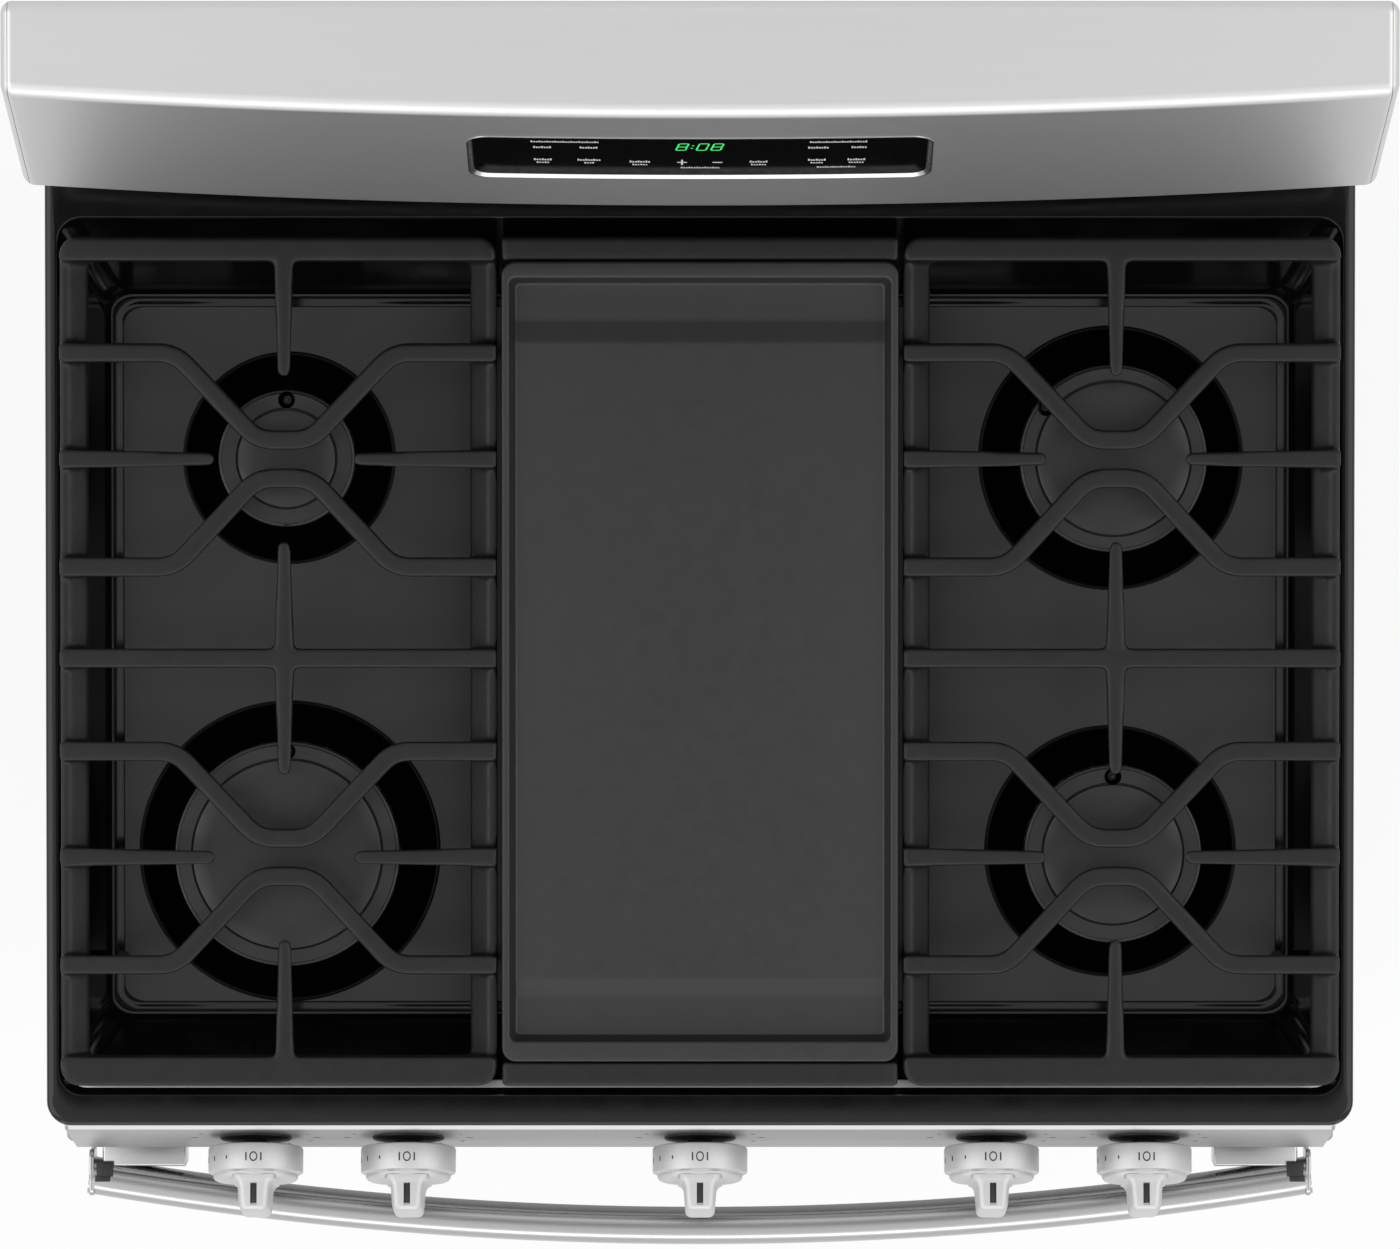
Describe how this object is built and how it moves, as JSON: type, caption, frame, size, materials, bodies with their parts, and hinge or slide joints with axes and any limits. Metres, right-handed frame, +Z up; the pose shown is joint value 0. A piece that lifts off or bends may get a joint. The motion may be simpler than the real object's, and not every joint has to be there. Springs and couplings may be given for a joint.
{
  "type": "freestanding gas range",
  "caption": "Freestanding gas range with burners under cast grates, a centre griddle, a backguard console, an oven with a drop-down door and a storage drawer.",
  "frame": {"origin": "middle of the overall box at floor level", "axes": "+X to the right as seen from the front, +Y to the back, +Z up"},
  "size_m": [0.759, 0.722, 1.2],
  "materials": {
    "stainless": "brushed",
    "handle_steel": "brushed",
    "knob_metal": "satin",
    "pan_enamel": "gloss",
    "cap_enamel": "satin",
    "black_paint": "satin",
    "cast_grate": "matte",
    "cast_griddle": "matte",
    "burner_metal": "cast",
    "tube_metal": "drawn",
    "igniter_body": "glazed",
    "touch_panel": "gloss",
    "window_glass": "gloss",
    "oven_enamel": "speckled",
    "side_paint": "satin",
    "zinc_steel": "galvanised",
    "rack_wire": "plated",
    "mineral_wool": "fibrous",
    "seal_cord": "woven",
    "circuit_board": "satin",
    "valve_brass": "machined",
    "stem_steel": "turned",
    "regulator_metal": "cast",
    "foot_plastic": "moulded",
    "lamp_glass": "gloss"
  },
  "bodies": {
    "cabinet": {"back_panel": "zinc_steel", "backguard_riser": "black_paint", "bake_burner": "zinc_steel", "base_frame": "zinc_steel", "broil_burner": "zinc_steel", "burner_caps": "cap_enamel", "burner_heads": "burner_metal", "console_end_caps": "black_paint", "console_shell": "stainless", "control_panel": "stainless", "cooktop": "pan_enamel", "display_board": "circuit_board", "door_gasket": "seal_cord", "drawer_rails": "zinc_steel", "front_frame": "side_paint", "gas_manifold": "tube_metal", "gas_tubes": "tube_metal", "gas_valves": "valve_brass", "hinge_receivers": "zinc_steel", "igniters": "igniter_body", "oven_cavity": "oven_enamel", "oven_floor": "oven_enamel", "oven_insulation": "mineral_wool", "oven_lamp": "lamp_glass", "oven_racks": "rack_wire", "pressure_regulator": "regulator_metal", "screws": "zinc_steel", "side_panel_left": "side_paint", "side_panel_right": "side_paint", "spark_module": "circuit_board", "temperature_sensor": "zinc_steel", "touch_glass": "touch_panel", "vent_duct": "zinc_steel"},
    "door": {"door_outer_panel": "stainless", "door_window": "window_glass", "door_inner_panel": "oven_enamel", "door_inner_glass": "window_glass", "door_hinges": "zinc_steel", "handle_bar": "handle_steel", "handle_brackets": "handle_steel"},
    "drawer": {"drawer_front": "stainless", "drawer_box": "zinc_steel"},
    "grate_left_body": {"grate_left": "cast_grate"},
    "grate_right_body": {"grate_right": "cast_grate"},
    "grate_centre_body": {"grate_centre": "cast_grate"},
    "griddle_body": {"griddle": "cast_griddle"},
    "stem_1_body": {"valve_stem_1": "stem_steel"},
    "knob_1_body": {"knob_1": "knob_metal"},
    "stem_2_body": {"valve_stem_2": "stem_steel"},
    "knob_2_body": {"knob_2": "knob_metal"},
    "stem_3_body": {"valve_stem_3": "stem_steel"},
    "knob_3_body": {"knob_3": "knob_metal"},
    "stem_4_body": {"valve_stem_4": "stem_steel"},
    "knob_4_body": {"knob_4": "knob_metal"},
    "stem_5_body": {"valve_stem_5": "stem_steel"},
    "knob_5_body": {"knob_5": "knob_metal"},
    "foot_1_body": {"levelling_foot_1": "foot_plastic"},
    "foot_2_body": {"levelling_foot_2": "foot_plastic"},
    "foot_3_body": {"levelling_foot_3": "foot_plastic"},
    "foot_4_body": {"levelling_foot_4": "foot_plastic"}
  },
  "joints": [
    {"name": "knob_1_turn", "type": "hinge", "parent": "cabinet", "child": "stem_1_body", "pos_m": [-0.2605, -0.2894, 0.85], "axis": [0, -0.9789, 0.2045], "range_deg": [0, 210]},
    {"name": "knob_1_push", "type": "slide", "parent": "stem_1_body", "child": "knob_1_body", "axis": [0, 0.9789, -0.2045], "range_m": [0, 0.003], "stiffness_N_per_m": 1500, "springref_m": -0.002},
    {"name": "knob_2_turn", "type": "hinge", "parent": "cabinet", "child": "stem_2_body", "pos_m": [-0.171, -0.2894, 0.85], "axis": [0, -0.9789, 0.2045], "range_deg": [0, 210]},
    {"name": "knob_2_push", "type": "slide", "parent": "stem_2_body", "child": "knob_2_body", "axis": [0, 0.9789, -0.2045], "range_m": [0, 0.003], "stiffness_N_per_m": 1500, "springref_m": -0.002},
    {"name": "knob_3_turn", "type": "hinge", "parent": "cabinet", "child": "stem_3_body", "pos_m": [0, -0.2894, 0.85], "axis": [0, -0.9789, 0.2045], "range_deg": [0, 210]},
    {"name": "knob_3_push", "type": "slide", "parent": "stem_3_body", "child": "knob_3_body", "axis": [0, 0.9789, -0.2045], "range_m": [0, 0.003], "stiffness_N_per_m": 1500, "springref_m": -0.002},
    {"name": "knob_4_turn", "type": "hinge", "parent": "cabinet", "child": "stem_4_body", "pos_m": [0.171, -0.2894, 0.85], "axis": [0, -0.9789, 0.2045], "range_deg": [0, 210]},
    {"name": "knob_4_push", "type": "slide", "parent": "stem_4_body", "child": "knob_4_body", "axis": [0, 0.9789, -0.2045], "range_m": [0, 0.003], "stiffness_N_per_m": 1500, "springref_m": -0.002},
    {"name": "knob_5_turn", "type": "hinge", "parent": "cabinet", "child": "stem_5_body", "pos_m": [0.2605, -0.2894, 0.85], "axis": [0, -0.9789, 0.2045], "range_deg": [0, 210]},
    {"name": "knob_5_push", "type": "slide", "parent": "stem_5_body", "child": "knob_5_body", "axis": [0, 0.9789, -0.2045], "range_m": [0, 0.003], "stiffness_N_per_m": 1500, "springref_m": -0.002},
    {"name": "door_hinge", "type": "hinge", "parent": "cabinet", "child": "door", "pos_m": [0, -0.27, 0.215], "axis": [1, 0, 0], "range_deg": [0, 90]},
    {"name": "drawer_slide", "type": "slide", "parent": "cabinet", "child": "drawer", "axis": [0, -1, 0], "range_m": [0, 0.4]},
    {"name": "grate_left_lift", "type": "slide", "parent": "cabinet", "child": "grate_left_body", "axis": [0, 0, 1], "range_m": [0, 0.12]},
    {"name": "grate_right_lift", "type": "slide", "parent": "cabinet", "child": "grate_right_body", "axis": [0, 0, 1], "range_m": [0, 0.12]},
    {"name": "grate_centre_lift", "type": "slide", "parent": "cabinet", "child": "grate_centre_body", "axis": [0, 0, 1], "range_m": [0, 0.12]},
    {"name": "griddle_lift", "type": "slide", "parent": "grate_centre_body", "child": "griddle_body", "axis": [0, 0, 1], "range_m": [0, 0.12]},
    {"name": "foot_1_screw", "type": "slide", "parent": "cabinet", "child": "foot_1_body", "axis": [0, 0, -1], "range_m": [0, 0.025]},
    {"name": "foot_2_screw", "type": "slide", "parent": "cabinet", "child": "foot_2_body", "axis": [0, 0, -1], "range_m": [0, 0.025]},
    {"name": "foot_3_screw", "type": "slide", "parent": "cabinet", "child": "foot_3_body", "axis": [0, 0, -1], "range_m": [0, 0.025]},
    {"name": "foot_4_screw", "type": "slide", "parent": "cabinet", "child": "foot_4_body", "axis": [0, 0, -1], "range_m": [0, 0.025]}
  ]
}
